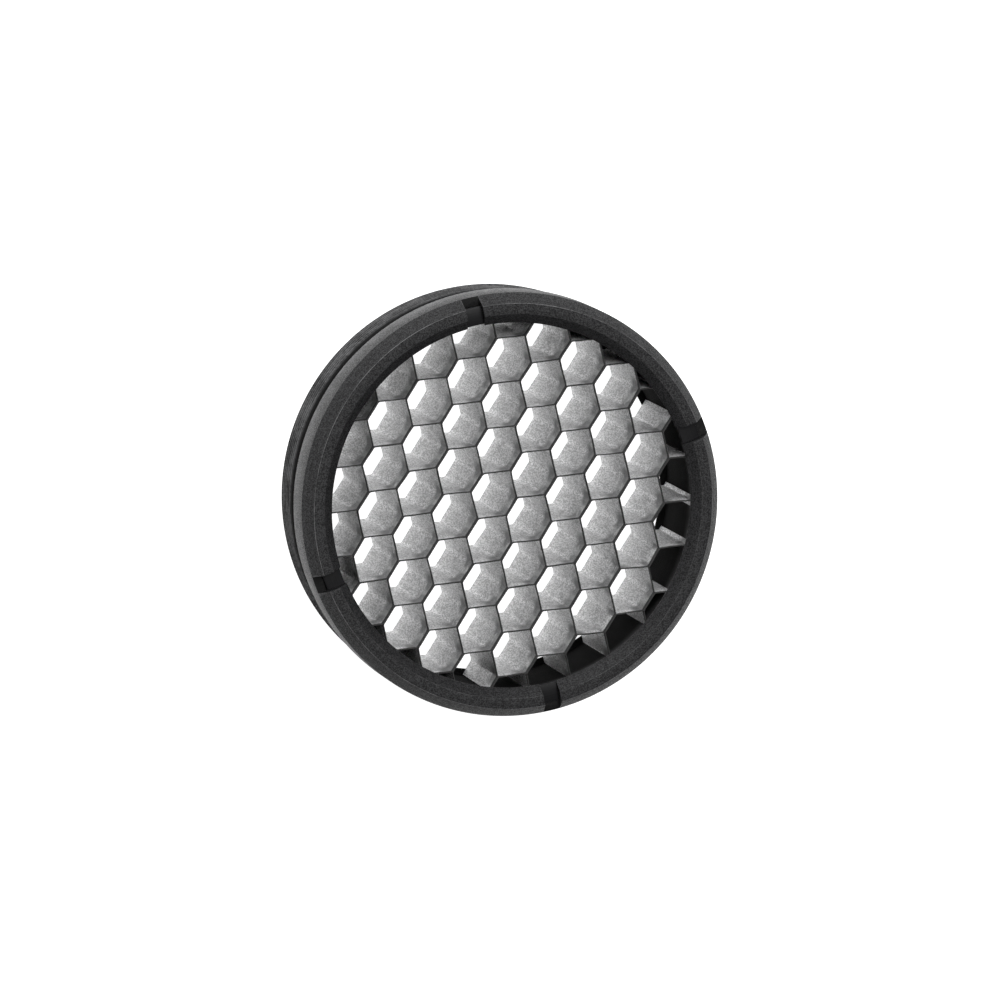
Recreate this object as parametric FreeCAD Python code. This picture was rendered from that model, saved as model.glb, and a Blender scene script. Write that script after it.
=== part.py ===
import FreeCAD, Part
import math
import os

# Screw-in honeycomb grid for a small spot lamp: a threaded body holds a disc of expanded
# aluminium honeycomb, and a slotted ring screws over the front of the body to clamp it.
# Millimetres. +Z is the optical axis and points out of the slotted front face.
# The origin is the centre of the rear face, which the part stands on.

# Honeycomb core: corrugated foil ribbons, bonded crest to crest, then pulled open.
cell_size = 6.17            # mean distance across the flats of one cell
cell_stretch = 0.026        # share by which the cells are long along the ribbons and short across
foil_thickness = 0.12
bond_length = 3.00          # length of the flat, doubled cell wall where two ribbons are bonded
bond_tilt = 2.0             # degrees by which the pulled ribbons turn their bonded flats
row_drift = -0.03           # sideways creep of each row of cells against the row before
ribbon_angle = 43.7         # degrees from +X to the run of the ribbons
core_shift_along = -5.64    # centre of the middle cell, along the ribbons from the axis
core_shift_across = 0.21    # the same, across the ribbons
core_radius = 26.10         # the disc that is cut from the block; the rings are built around it
core_depth = 15.90

# Body: bored tube with a front spigot, a plain shank, a seal groove and the rear thread.
core_clearance = 0.15       # radial, between the foil disc and the bore
rear_lip_thickness = 0.50
rear_lip_overlap = 0.80     # how far the rear lip reaches under the foil
spigot_wall = 1.68
spigot_setback = 0.15       # the spigot ends this far behind the foil, so that the foil is clamped
spigot_chamfer = 0.30
shank_length = 3.45
shank_relief = 0.32         # the shank is this much lower than the thread's crest
seal_groove_width = 1.10
seal_groove_depth = 0.70
thread_wall = 2.11          # from the bore to the root of the thread, which is M58 x 1
thread_pitch = 1.00
thread_depth = 0.61
thread_angle = 60.0         # degrees between the flanks
thread_root_flat = 0.125
rear_chamfer = 0.35

# Seal: rubber ring in the groove, which grips the lamp's socket.
seal_section_radius = 0.50
seal_clearance = 0.02       # between the seal and the floor of its groove

# Slip washer: captive in the ring's undercut, so that the ring turns without wringing the foil.
washer_thickness = 0.25
washer_setback = 0.20       # the washer's hole is this much larger than the opening
washer_catch = 0.15         # how far the washer's rim reaches behind the skirt's thread
washer_clearance = 0.15     # radial, between the washer's rim and the undercut
seat_gap = 0.02             # axial, on each side of the washer when the ring is screwed home

# Front ring: slotted bezel that screws over the body's spigot.
lip_overlap = 0.70          # how far the lip reaches over the foil
lip_wall = 0.10             # straight wall of the opening below the inner bevel
inner_bevel_width = 1.35
inner_bevel_depth = 1.35
outer_bevel_width = 1.30
outer_bevel_depth = 2.15
screw_clearance = 0.07      # radial, between the spigot and the ring's skirt
skirt_wall = 1.50
band_length = 5.30          # plain outside cylinder behind the outer bevel
closing_gap = 0.12          # axial, between the skirt and the body's shoulder
slot_width = 2.40
slot_depth = 2.10
slot_line_angle = 81.0      # degrees between the two lines that the four slots are cut along
ring_edge_break = 0.15

# Radii that follow, from the foil disc outwards.
aperture_radius = core_radius - lip_overlap
land_inner_radius = aperture_radius + inner_bevel_width
washer_inner_radius = aperture_radius + washer_setback
rear_lip_radius = core_radius - rear_lip_overlap
body_bore_radius = core_radius + core_clearance
spigot_radius = body_bore_radius + spigot_wall
thread_root_radius = body_bore_radius + thread_wall
thread_radius = thread_root_radius + thread_depth
shank_radius = thread_radius - shank_relief
seal_groove_radius = shank_radius - seal_groove_depth
seal_radius = seal_groove_radius + seal_clearance + seal_section_radius
skirt_radius = spigot_radius + screw_clearance
washer_outer_radius = skirt_radius + washer_catch
undercut_radius = washer_outer_radius + washer_clearance
ring_radius = skirt_radius + skirt_wall
land_outer_radius = ring_radius - outer_bevel_width

# Heights that follow, from the rear face forwards and then back from the front face.
core_bottom = rear_lip_thickness
core_top = core_bottom + core_depth
spigot_top = core_top - spigot_setback
undercut_bottom = core_top
washer_bottom = core_top + seat_gap
washer_top = washer_bottom + washer_thickness
lip_bottom = washer_top + seat_gap
inner_bevel_bottom = lip_bottom + lip_wall
front_face = inner_bevel_bottom + inner_bevel_depth
outer_bevel_bottom = front_face - outer_bevel_depth
skirt_bottom = outer_bevel_bottom - band_length
shoulder = skirt_bottom - closing_gap
seal_groove_top = shoulder - shank_length
seal_groove_bottom = seal_groove_top - seal_groove_width
thread_turns = int(seal_groove_bottom / thread_pitch)

# Cell sizes that follow from the stretch.
cell_across = cell_size * (1.0 - cell_stretch)
ribbon_period = math.sqrt(3.0) * cell_size * (1.0 + cell_stretch)
row_step = cell_across / 2.0

AXIS_BASE = FreeCAD.Vector(0, 0, 0)
AXIS_UP = FreeCAD.Vector(0, 0, 1)
CUT_OVERRUN = 1.0           # how far a cutter stands out of what it cuts


def revolved(profile):
    """Turn a closed outline of (radius, height) corners about the optical axis."""
    corners = [FreeCAD.Vector(radius, 0, height) for radius, height in profile]
    corners.append(corners[0])
    face = Part.Face(Part.makePolygon(corners))
    return face.revolve(AXIS_BASE, AXIS_UP, 360)


def front_ring():
    """Bezel with a bevelled face, an inward lip, a threaded skirt and four spanner slots."""
    ring = revolved([
        (aperture_radius, lip_bottom),
        (aperture_radius, inner_bevel_bottom),
        (land_inner_radius, front_face),
        (land_outer_radius, front_face),
        (ring_radius, outer_bevel_bottom),
        (ring_radius, skirt_bottom + ring_edge_break),
        (ring_radius - ring_edge_break, skirt_bottom),
        (skirt_radius, skirt_bottom),
        (skirt_radius, undercut_bottom),
        (undercut_radius, undercut_bottom),
        (undercut_radius, lip_bottom),
    ])
    slot_reach = ring_radius + CUT_OVERRUN
    slot_corner = FreeCAD.Vector(-slot_reach, -slot_width / 2.0, front_face - slot_depth)
    for slot_angle in (90.0, 90.0 - slot_line_angle):
        cutter = Part.makeBox(2.0 * slot_reach, slot_width, slot_depth + CUT_OVERRUN, slot_corner)
        cutter.rotate(AXIS_BASE, AXIS_UP, slot_angle)
        ring = ring.cut(cutter)
    return ring


def slip_washer():
    """Thin flat washer under the ring's lip."""
    seat = FreeCAD.Vector(0, 0, washer_bottom)
    washer = Part.makeCylinder(washer_outer_radius, washer_thickness, seat)
    return washer.cut(Part.makeCylinder(washer_inner_radius, washer_thickness, seat))


def rear_body():
    """Threaded tube that the honeycomb drops into from the front."""
    outline = [
        (rear_lip_radius, 0.0),
        (rear_lip_radius, rear_lip_thickness),
        (body_bore_radius, rear_lip_thickness),
        (body_bore_radius, spigot_top),
        (spigot_radius - spigot_chamfer, spigot_top),
        (spigot_radius, spigot_top - spigot_chamfer),
        (spigot_radius, shoulder),
        (shank_radius, shoulder),
        (shank_radius, seal_groove_top),
        (seal_groove_radius, seal_groove_top),
        (seal_groove_radius, seal_groove_bottom),
        (thread_radius, seal_groove_bottom),
        (thread_radius, rear_chamfer),
        (thread_radius - rear_chamfer, 0.0),
    ]
    body = revolved(outline)
    # The thread is cut as a stack of rings with the thread's pitch and flanks.
    half_root = thread_root_flat / 2.0
    half_mouth = half_root + thread_depth * math.tan(math.radians(thread_angle / 2.0))
    for turn in range(thread_turns):
        middle = seal_groove_bottom - (turn + 0.5) * thread_pitch
        body = body.cut(revolved([
            (thread_root_radius, middle - half_root),
            (thread_radius, middle - half_mouth),
            (thread_radius + CUT_OVERRUN, middle - half_mouth),
            (thread_radius + CUT_OVERRUN, middle + half_mouth),
            (thread_radius, middle + half_mouth),
            (thread_root_radius, middle + half_root),
        ]))
    return body


def grip_seal():
    """Round-section rubber ring in the groove in front of the thread."""
    centre = FreeCAD.Vector(0, 0, (seal_groove_bottom + seal_groove_top) / 2.0)
    return Part.makeTorus(seal_radius, seal_section_radius, centre)


def bond_flat(middle, level, side):
    """Ends of one bonded flat's foil centre line, which lies half a foil to one side of the bond."""
    tilt = math.radians(bond_tilt)
    half_run = bond_length / 2.0 * math.cos(tilt)
    half_rise = bond_length / 2.0 * math.sin(tilt)
    offset_along = side * foil_thickness / 2.0 * math.sin(tilt)
    offset_across = side * foil_thickness / 2.0 * math.cos(tilt)
    start = (middle - half_run + offset_along, level + half_rise + offset_across)
    end = (middle + half_run + offset_along, level - half_rise + offset_across)
    return [start, end]


def ribbon_line(row):
    """Centre line of the ribbon between two rows of bonds, well past both sides of the disc."""
    level = core_shift_across + row * row_step
    cells = core_shift_along + row * (ribbon_period / 2.0 + row_drift)
    reach = core_radius + 2.0 * ribbon_period
    first = math.floor((-reach - cells) / ribbon_period)
    count = math.ceil(2.0 * reach / ribbon_period) + 1
    line = []
    for index in range(first, first + count):
        here = cells + index * ribbon_period
        line += bond_flat(here + row_drift, level + row_step, -1)
        line += bond_flat(here + ribbon_period / 2.0, level, 1)
    return line


def offset_line(line, distance):
    """A polyline moved sideways by a distance, with mitred corners."""
    moved = []
    for index in range(1, len(line) - 1):
        before = (line[index][0] - line[index - 1][0], line[index][1] - line[index - 1][1])
        after = (line[index + 1][0] - line[index][0], line[index + 1][1] - line[index][1])
        before_length = math.hypot(*before)
        after_length = math.hypot(*after)
        normal_before = (-before[1] / before_length, before[0] / before_length)
        normal_after = (-after[1] / after_length, after[0] / after_length)
        mitre = (normal_before[0] + normal_after[0], normal_before[1] + normal_after[1])
        scale = distance * 2.0 / (mitre[0] ** 2 + mitre[1] ** 2)
        moved.append((line[index][0] + scale * mitre[0], line[index][1] + scale * mitre[1]))
    return moved


def foil_ribbon(row):
    """One corrugated foil strip, cut to the disc, or None where the disc misses it."""
    line = ribbon_line(row)
    outline = offset_line(line, foil_thickness / 2.0)
    outline += reversed(offset_line(line, -foil_thickness / 2.0))
    # The across axis is a quarter turn clockwise from the ribbons, as seen from the front.
    corners = [FreeCAD.Vector(along, -across, core_bottom) for along, across in outline]
    corners.append(corners[0])
    strip = Part.Face(Part.makePolygon(corners)).extrude(FreeCAD.Vector(0, 0, core_depth))
    strip.rotate(AXIS_BASE, AXIS_UP, ribbon_angle)
    disc = Part.makeCylinder(core_radius, core_depth, FreeCAD.Vector(0, 0, core_bottom))
    cut = strip.common(disc)
    return cut if cut.Solids else None


def foil_ribbons():
    """Every ribbon that the disc reaches, in order across it."""
    rows = math.ceil(core_radius / row_step) + 1
    strips = [foil_ribbon(row) for row in range(-rows, rows + 1)]
    return [strip for strip in strips if strip is not None]


def main():
    """Write one STEP file for each piece."""
    pieces = {
        "front_ring": front_ring(),
        "slip_washer": slip_washer(),
        "rear_body": rear_body(),
        "grip_seal": grip_seal(),
    }
    for number, ribbon in enumerate(foil_ribbons(), start=1):
        pieces[f"foil_ribbon_{number:02d}"] = ribbon
    os.makedirs("parts", exist_ok=True)
    for name, shape in pieces.items():
        if not shape.isValid():
            raise RuntimeError(f"{name} is not a valid shape")
        shape.exportStep(f"parts/{name}.step")
        print(name, len(shape.Solids), "solid(s)", round(shape.Volume, 2), "mm3")


main()
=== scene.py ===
import math

import bmesh
import bpy
from mathutils import Matrix, Vector, kdtree, noise


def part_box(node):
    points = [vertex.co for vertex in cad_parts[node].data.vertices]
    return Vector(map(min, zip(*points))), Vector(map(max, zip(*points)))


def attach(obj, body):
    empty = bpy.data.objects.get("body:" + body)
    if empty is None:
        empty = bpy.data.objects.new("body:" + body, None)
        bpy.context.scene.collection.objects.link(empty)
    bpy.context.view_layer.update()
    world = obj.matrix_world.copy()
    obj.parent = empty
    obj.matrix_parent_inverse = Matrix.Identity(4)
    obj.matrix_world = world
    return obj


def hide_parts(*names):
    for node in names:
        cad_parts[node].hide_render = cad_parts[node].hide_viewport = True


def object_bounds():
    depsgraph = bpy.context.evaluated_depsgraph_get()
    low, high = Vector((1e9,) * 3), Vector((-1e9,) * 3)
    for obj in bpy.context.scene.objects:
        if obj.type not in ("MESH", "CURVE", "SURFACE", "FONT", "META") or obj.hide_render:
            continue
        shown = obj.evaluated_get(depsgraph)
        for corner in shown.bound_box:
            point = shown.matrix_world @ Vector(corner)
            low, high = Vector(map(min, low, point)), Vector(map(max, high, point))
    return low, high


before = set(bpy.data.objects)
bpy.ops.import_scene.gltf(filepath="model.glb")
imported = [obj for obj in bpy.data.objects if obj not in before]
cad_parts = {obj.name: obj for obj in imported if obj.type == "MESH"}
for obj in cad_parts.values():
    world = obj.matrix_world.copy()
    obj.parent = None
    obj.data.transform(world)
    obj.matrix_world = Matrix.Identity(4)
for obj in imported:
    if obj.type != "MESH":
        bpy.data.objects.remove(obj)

bl_info = {
    "name": "Honeycomb grid",
    "version": (1, 0, 0),
    "blender": (4, 5, 0),
    "location": "3D View > Sidebar > Honeycomb",
    "description": "Builds the pieces of a screw-in honeycomb grid around its packed frame",
    "category": "Object",
}

# Metres throughout. The optical axis is +Z and the rear face stands on the floor at zero.
MM = 0.001
UP = Vector((0.0, 0.0, 1.0))
FULL_TURN = 2.0 * math.pi
MERGE_DISTANCE = 1e-7
PLACE_TOLERANCE = 0.35 * MM
CUT_CLEARANCE = 0.04 * MM
CUT_OVERRUN = 1.0 * MM
DENT_OFFSET = Vector((7.0, 3.0, 5.0))

CAD_LOW, CAD_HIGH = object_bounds()
RING_LOW, RING_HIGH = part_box("front_ring")
WASHER_LOW, WASHER_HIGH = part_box("slip_washer")
BODY_LOW, BODY_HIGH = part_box("rear_body")
SEAL_LOW, SEAL_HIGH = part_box("grip_seal")
FOIL_NODES = sorted(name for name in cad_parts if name.startswith("foil_ribbon_"))
FOIL_LOW, FOIL_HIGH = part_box(FOIL_NODES[len(FOIL_NODES) // 2])
FOIL_REACH = max(max(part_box(node)[1].x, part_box(node)[1].y) for node in FOIL_NODES)


# ---------------------------------------------------------------- sizes and colours

def distance(name, description, millimetres):
    """A length that is set in millimetres and kept in metres."""
    return bpy.props.FloatProperty(
        name=name, description=description, default=millimetres * MM,
        precision=5, subtype="DISTANCE", unit="LENGTH")


def angle(name, description, degrees):
    return bpy.props.FloatProperty(
        name=name, description=description, default=math.radians(degrees),
        subtype="ANGLE", unit="ROTATION")


def factor(name, description, default):
    return bpy.props.FloatProperty(
        name=name, description=description, default=default, subtype="FACTOR")


def number(name, description, default):
    return bpy.props.FloatProperty(name=name, description=description, default=default)


def count(name, description, default):
    return bpy.props.IntProperty(name=name, description=description, default=default, min=1)


def colour(name, description, default):
    return bpy.props.FloatVectorProperty(
        name=name, description=description, default=default, size=3, subtype="COLOR")


class HONEYCOMB_ring_sizes(bpy.types.PropertyGroup):
    """Front ring"""
    turned_steps: count("Steps", "Facets round every turned piece", 256)
    lip_reach: distance("Lip", "How far the lip reaches in from the skirt", 2.60)
    undercut_gap: distance("Undercut", "Gap round the washer in the ring's undercut", 0.14)
    lip_thickness: distance("Lip wall", "Straight wall of the opening under the inner bevel", 0.10)
    bevel_width: distance("Inner bevel", "Width and depth of the inner bevel", 1.35)
    outer_bevel_width: distance("Outer bevel width", "Radial width of the outer bevel", 1.30)
    outer_bevel_depth: distance("Outer bevel depth", "Depth of the outer bevel", 2.15)
    skirt_wall: distance("Skirt wall", "Thickness of the threaded skirt", 1.50)
    slot_width: distance("Slot width", "Width of the spanner slots", 2.40)
    slot_depth: distance("Slot depth", "Depth of the spanner slots", 2.10)
    slot_line_angle: angle("Slot lines", "Angle between the two lines of slots", 81.0)
    edge_round: distance("Edge round", "Rounding of the ring's edges", 0.12)
    slot_edge_round: distance("Slot edge round", "Rounding of the slots' edges", 0.05)


class HONEYCOMB_body_sizes(bpy.types.PropertyGroup):
    """Threaded body"""
    rear_lip_thickness: distance("Rear lip", "Thickness of the lip behind the foil", 0.50)
    rear_lip_radius: distance("Rear opening", "Radius of the rear opening", 25.30)
    bore_radius: distance("Bore", "Radius of the bore round the foil", 26.25)
    spigot_radius: distance("Spigot", "Radius of the spigot inside the ring", 27.93)
    spigot_chamfer: distance("Spigot chamfer", "Chamfer on the spigot's front edge", 0.30)
    shank_radius: distance("Shank", "Radius of the plain shank", 28.65)
    closing_gap: distance("Closing gap", "Gap between the ring and the body's shoulder", 0.12)
    shank_length: distance("Shank length", "Length of the plain shank", 3.45)
    groove_width: distance("Seal groove width", "Width of the seal's groove", 1.10)
    groove_depth: distance("Seal groove depth", "Depth of the seal's groove", 0.70)
    rear_chamfer: distance("Rear chamfer", "Chamfer where the thread starts", 0.35)
    edge_round: distance("Edge round", "Rounding of the body's edges", 0.07)
    thread_pitch: distance("Thread pitch", "Advance of the thread in one turn", 1.00)
    thread_depth: distance("Thread depth", "Depth of the thread", 0.61)
    thread_angle: angle("Thread angle", "Angle between the thread's flanks", 60.0)
    thread_root: distance("Thread root", "Flat at the root of the thread", 0.125)


class HONEYCOMB_seal_sizes(bpy.types.PropertyGroup):
    """Seal and washer"""
    section_steps: count("Section steps", "Facets round the seal's section", 20)
    flash_height: distance("Flash height", "Height of the moulding flash round the seal", 0.03)
    washer_width: distance("Washer width", "Radial width of the washer", 2.55)
    washer_round: distance("Washer round", "Rounding of the washer's edges", 0.04)


class HONEYCOMB_foil_sizes(bpy.types.PropertyGroup):
    """Honeycomb foil"""
    cell_size: distance("Cell", "Mean distance across the flats of one cell", 6.17)
    cell_stretch: factor("Stretch", "Share by which cells are long along the ribbons", 0.026)
    thickness: distance("Thickness", "Thickness of the foil", 0.12)
    bond_length: distance("Bond", "Length of the doubled cell wall", 3.00)
    bond_tilt: angle("Bond tilt", "Turn of the bonded walls against the ribbons", 2.0)
    row_drift: distance("Row drift", "Sideways creep of each row of cells", -0.03)
    ribbon_angle: angle("Ribbon angle", "Angle from +X to the run of the ribbons", 43.7)
    shift_along: distance("Shift along", "Middle cell, along the ribbons from the axis", -5.64)
    shift_across: distance("Shift across", "Middle cell, across the ribbons from the axis", 0.21)
    bend_radius: distance("Bend", "Size of the bends between the cell walls", 0.16)
    path_step: distance("Path step", "Length of one facet along the ribbons", 0.55)
    height_steps: count("Height steps", "Facets up the ribbons", 20)
    buckle: distance("Buckle", "How far the cell walls bow", 0.13)
    buckle_size: distance("Buckle size", "Span of one bow", 5.0)
    dent: distance("Dents", "Depth of the small dents in the foil", 0.035)
    dent_size: distance("Dent size", "Span of one dent", 1.6)
    burr: distance("Burr", "How far the sawn edges of the foil are uneven", 0.05)
    seed: count("Seed", "Which set of bows and dents the foil has", 7)
    burr_size: distance("Burr size", "Span of one unevenness", 0.5)
    rim_fade: distance("Rim fade", "Rim in which bows and dents fade", 2.0)
    rim_gap: distance("Rim gap", "Gap between the foil and the bore", 0.15)
    # Reach of the painted dark reflection round the inner corner beside a bond.
    reflection_reach: distance("Stain reach", "How far adhesive spreads from a bonded corner", 1.5)


class HONEYCOMB_finishes(bpy.types.PropertyGroup):
    """Finishes"""
    ring_colour: colour("Ring", "Black anodise of the ring", (0.0135, 0.0135, 0.0140))
    body_colour: colour("Body", "Black anodise of the body", (0.0045, 0.0045, 0.0048))
    # Painted highlight: lighter colour painted on the outer turned edges and thread crests.
    edge_highlight_colour: colour("Worn edge", "Anodise rubbed thin on an edge", (0.24, 0.24, 0.245))
    foil_colour: colour("Foil", "Dull aluminium foil", (0.76, 0.76, 0.765))
    foil_dull_colour: colour("Dull foil", "Stained or oxidised foil", (0.50, 0.50, 0.505))
    # Colour of the darker band along the foil's front and rear edges.
    foil_edge_colour: colour("Sawn edge", "Dark sawn edge of the foil", (0.012, 0.012, 0.012))
    rubber_colour: colour("Rubber", "Seal rubber", (0.006, 0.006, 0.006))
    # Painted shadow: the spanner slots are painted darker than the ring's own black.
    slot_shade_colour: colour("Slots", "Thick anodise in the milled slots", (0.003, 0.003, 0.003))
    # Painted light and shade in the bore: grey near the mouth where light falls, black deeper in.
    bore_lit_colour: colour("Bore mouth", "Anodise rubbed grey where the foil is pushed in", (0.16, 0.16, 0.163))
    bore_shade_colour: colour("Bore", "Anodise deep in the bore", (0.004, 0.004, 0.004))
    acetal_colour: colour("Acetal", "Black acetal of the washer", (0.004, 0.004, 0.0045))
    grain_size: distance("Blast grain", "Size of the grain left by blasting", 0.17)
    lathe_size: distance("Lathe marks", "Spacing of the turning marks", 0.11)
    grain_relief: distance("Grain relief", "Height of the anodised surface's grain", 0.05)
    foil_relief: distance("Foil relief", "Height of the foil's grain", 0.03)
    fine_relief: distance("Fine relief", "Height of the grain on rubber and acetal", 0.01)
    # Strength of the painted edge highlight on the ring and on the body.
    ring_edge_highlight: factor("Ring wear", "Rubbing of the ring's edges", 0.8)
    body_edge_highlight: factor("Body wear", "Rubbing of the body's edges", 0.25)
    ring_shine: factor("Ring shine", "Mirror reflection of the ring", 0.11)
    body_shine: factor("Body shine", "Mirror reflection of the body", 0.12)
    dull_shine: factor("Dull shine", "Mirror reflection of rubber and acetal", 0.12)
    anodise_rough: factor("Anodise roughness", "Roughness of the anodised surfaces", 0.50)
    ring_lathe: factor("Ring turning", "Share of turning marks in the ring's finish", 0.20)
    body_lathe: factor("Body turning", "Share of turning marks in the body's finish", 0.70)
    # Depth of the painted light at the bore's mouth.
    bore_lit_depth: distance("Bore mouth depth", "Depth to which the bore is rubbed grey", 5.0)
    foil_metal: factor("Foil metal", "How metallic the dull foil looks", 0.35)
    # Depths that bound the painted dark reflection near the front of the foil.
    reflection_start: distance("Glue depth", "Depth at which adhesive stains end", 5.0)
    reflection_full: distance("Glue full", "Depth above which adhesive stains are strongest", 1.6)
    # Depths that bound the darker band below the foil's front edge.
    dark_edge_start: distance("Sawn band", "Depth at which the dark sawn edge starts", 0.90)
    dark_edge_full: distance("Sawn dark", "Depth above which the sawn edge is darkest", 0.45)


class HONEYCOMB_stage_sizes(bpy.types.PropertyGroup):
    """Stage"""
    camera_side: angle("Camera side", "Direction from the axis to the camera", 138.0)
    camera_tilt: angle("Camera tilt", "Camera's angle from the optical axis", 15.5)
    camera_roll: angle("Camera roll", "Turn of the camera about its line of sight", 150.4)
    camera_distance: distance("Camera distance", "From the front face to the camera", 1300.0)
    frame_width: distance("Frame width", "Width seen at the front face", 137.7)
    frame_right: distance("Object right", "How far right of centre the object stands", 1.97)
    frame_down: distance("Object down", "How far below centre the object stands", 0.94)
    floor_radius: distance("Floor", "Radius of the floor", 6000.0)
    floor_colour: colour("Floor colour", "Pale floor", (0.45, 0.45, 0.45))
    floor_glow: number("Floor glow", "Light that comes up through the floor", 1.0)
    sky_horizon: number("Horizon light", "Strength of the surroundings at the horizon", 0.14)
    sky_top: number("Top light", "Strength of the surroundings overhead", 0.60)
    upper_side: angle("Upper softbox side", "Direction to the low softbox", 96.0)
    upper_height: angle("Upper softbox height", "Its angle above the floor", 20.0)
    upper_reach: distance("Upper softbox reach", "Its distance", 1100.0)
    upper_size: distance("Upper softbox size", "Its side length", 600.0)
    upper_power: number("Upper softbox power", "Its power in watts", 8.5)
    front_side: angle("Front softbox side", "Direction to the high softbox", 80.0)
    front_height: angle("Front softbox height", "Its angle above the floor", 72.0)
    front_reach: distance("Front softbox reach", "Its distance", 1200.0)
    front_size: distance("Front softbox size", "Its side length", 500.0)
    front_power: number("Front softbox power", "Its power in watts", 13.0)


SETTING_GROUPS = {
    "honeycomb_ring": HONEYCOMB_ring_sizes,
    "honeycomb_body": HONEYCOMB_body_sizes,
    "honeycomb_seal": HONEYCOMB_seal_sizes,
    "honeycomb_foil": HONEYCOMB_foil_sizes,
    "honeycomb_finish": HONEYCOMB_finishes,
    "honeycomb_stage": HONEYCOMB_stage_sizes,
}


# ---------------------------------------------------------------- mesh helpers

def new_object(name, bm):
    """Turn a bmesh into an object that sits untransformed at the origin."""
    mesh = bpy.data.meshes.new(name)
    bm.to_mesh(mesh)
    bm.free()
    made = bpy.data.objects.new(name, mesh)
    bpy.context.scene.collection.objects.link(made)
    return made


def outline(bm, corners, rounding=0.0, segments=3):
    """Closed outline of (radius, height) corners in the XZ plane, with its corners rounded."""
    verts = [bm.verts.new((radius, 0.0, height)) for radius, height in corners]
    for start, end in zip(verts, verts[1:] + verts[:1]):
        bm.edges.new((start, end))
    if rounding > 0.0:
        bmesh.ops.bevel(
            bm, geom=verts, offset=rounding, offset_type="OFFSET", segments=segments,
            profile=0.5, affect="VERTICES", material=-1, clamp_overlap=True)


def turn_outline(bm, steps):
    """Spin everything in the bmesh once round the optical axis into a closed skin."""
    bmesh.ops.spin(
        bm, geom=bm.verts[:] + bm.edges[:], cent=(0.0, 0.0, 0.0), axis=UP,
        dvec=(0.0, 0.0, 0.0), angle=FULL_TURN, steps=steps, use_merge=True, use_duplicate=False)
    bmesh.ops.remove_doubles(bm, verts=bm.verts[:], dist=MERGE_DISTANCE)
    bmesh.ops.recalc_face_normals(bm, faces=bm.faces[:])


def turned_piece(name, corners, rounding, steps):
    bm = bmesh.new()
    outline(bm, corners, rounding)
    turn_outline(bm, steps)
    return new_object(name, bm)


def settle(piece):
    """Apply the piece's modifiers to its mesh."""
    depsgraph = bpy.context.evaluated_depsgraph_get()
    finished = bpy.data.meshes.new_from_object(piece.evaluated_get(depsgraph))
    finished.name = piece.name
    before = piece.data
    piece.modifiers.clear()
    piece.data = finished
    bpy.data.meshes.remove(before)


def cut_away(piece, cutter):
    """Cut one object out of another and remove the cutter."""
    cut = piece.modifiers.new("cut", "BOOLEAN")
    cut.operation = "DIFFERENCE"
    cut.solver = "EXACT"
    cut.object = cutter
    settle(piece)
    bpy.data.objects.remove(cutter)


def round_sharp_edges(piece, width, segments=2, limit=math.radians(32.0)):
    bevel = piece.modifiers.new("edge round", "BEVEL")
    bevel.width = width
    bevel.segments = segments
    bevel.limit_method = "ANGLE"
    bevel.angle_limit = limit
    bevel.harden_normals = False
    settle(piece)


def shade(piece, sharp_angle=math.radians(35.0)):
    """Smooth shading that keeps real edges sharp."""
    piece.data.shade_smooth()
    piece.data.set_sharp_from_angle(angle=sharp_angle)


def mark_edge_highlight(piece, first=math.radians(12.0), full=math.radians(24.0)):
    """Store how strongly each point stands out as an outer turned edge, for the painted edge highlight."""
    bm = bmesh.new()
    bm.from_mesh(piece.data)
    bm.normal_update()
    layer = bm.verts.layers.float.new("painted_highlight")
    for vert in bm.verts:
        sharpest = 0.0
        around = UP.cross(vert.co).normalized()
        for edge in vert.link_edges:
            run = (edge.verts[1].co - edge.verts[0].co).normalized()
            if edge.is_convex and abs(run.dot(around)) > 0.95:
                sharpest = max(sharpest, edge.calc_face_angle(0.0))
        vert[layer] = min(1.0, max(0.0, (sharpest - first) / (full - first)))
    bm.to_mesh(piece.data)
    bm.free()


def mark_corners(piece, reach, sharp=math.radians(8.0)):
    """Store how near each point of a foil is to a fold, for a painted highlight there, and to the inner
    corner beside a bond, for a painted dark reflection there.
    """
    bm = bmesh.new()
    bm.from_mesh(piece.data)
    bm.normal_update()
    fold_highlight_layer = bm.verts.layers.float.new("fold")
    corner_layer = bm.verts.layers.float.new("corner")
    folds = [edge for edge in bm.edges
             if abs((edge.verts[0].co - edge.verts[1].co).normalized().z) > 0.7
             and abs(edge.calc_face_angle_signed(0.0)) > sharp]
    for edge in folds:
        for vert in edge.verts:
            vert[fold_highlight_layer] = 1.0
    inner = [edge for edge in folds if not edge.is_convex]
    tree = kdtree.KDTree(len(inner))
    for index, edge in enumerate(inner):
        tree.insert(edge.verts[0].co.xy.to_3d(), index)
    tree.balance()
    for vert in bm.verts:
        for _, index, away in tree.find_range(vert.co.xy.to_3d(), reach):
            if inner[index].verts[0].normal.dot(vert.normal) > 0.3:
                vert[corner_layer] = max(vert[corner_layer], 1.0 - away / reach)
    bm.to_mesh(piece.data)
    bm.free()


def finish_piece(piece, material, body, slot, *nodes):
    """Dress a piece, let it stand for its CAD nodes and let it ride on its body."""
    piece.data.materials.clear()
    piece.data.materials.append(material)
    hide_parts(*nodes)
    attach(piece, body)


# ---------------------------------------------------------------- node helpers

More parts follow.
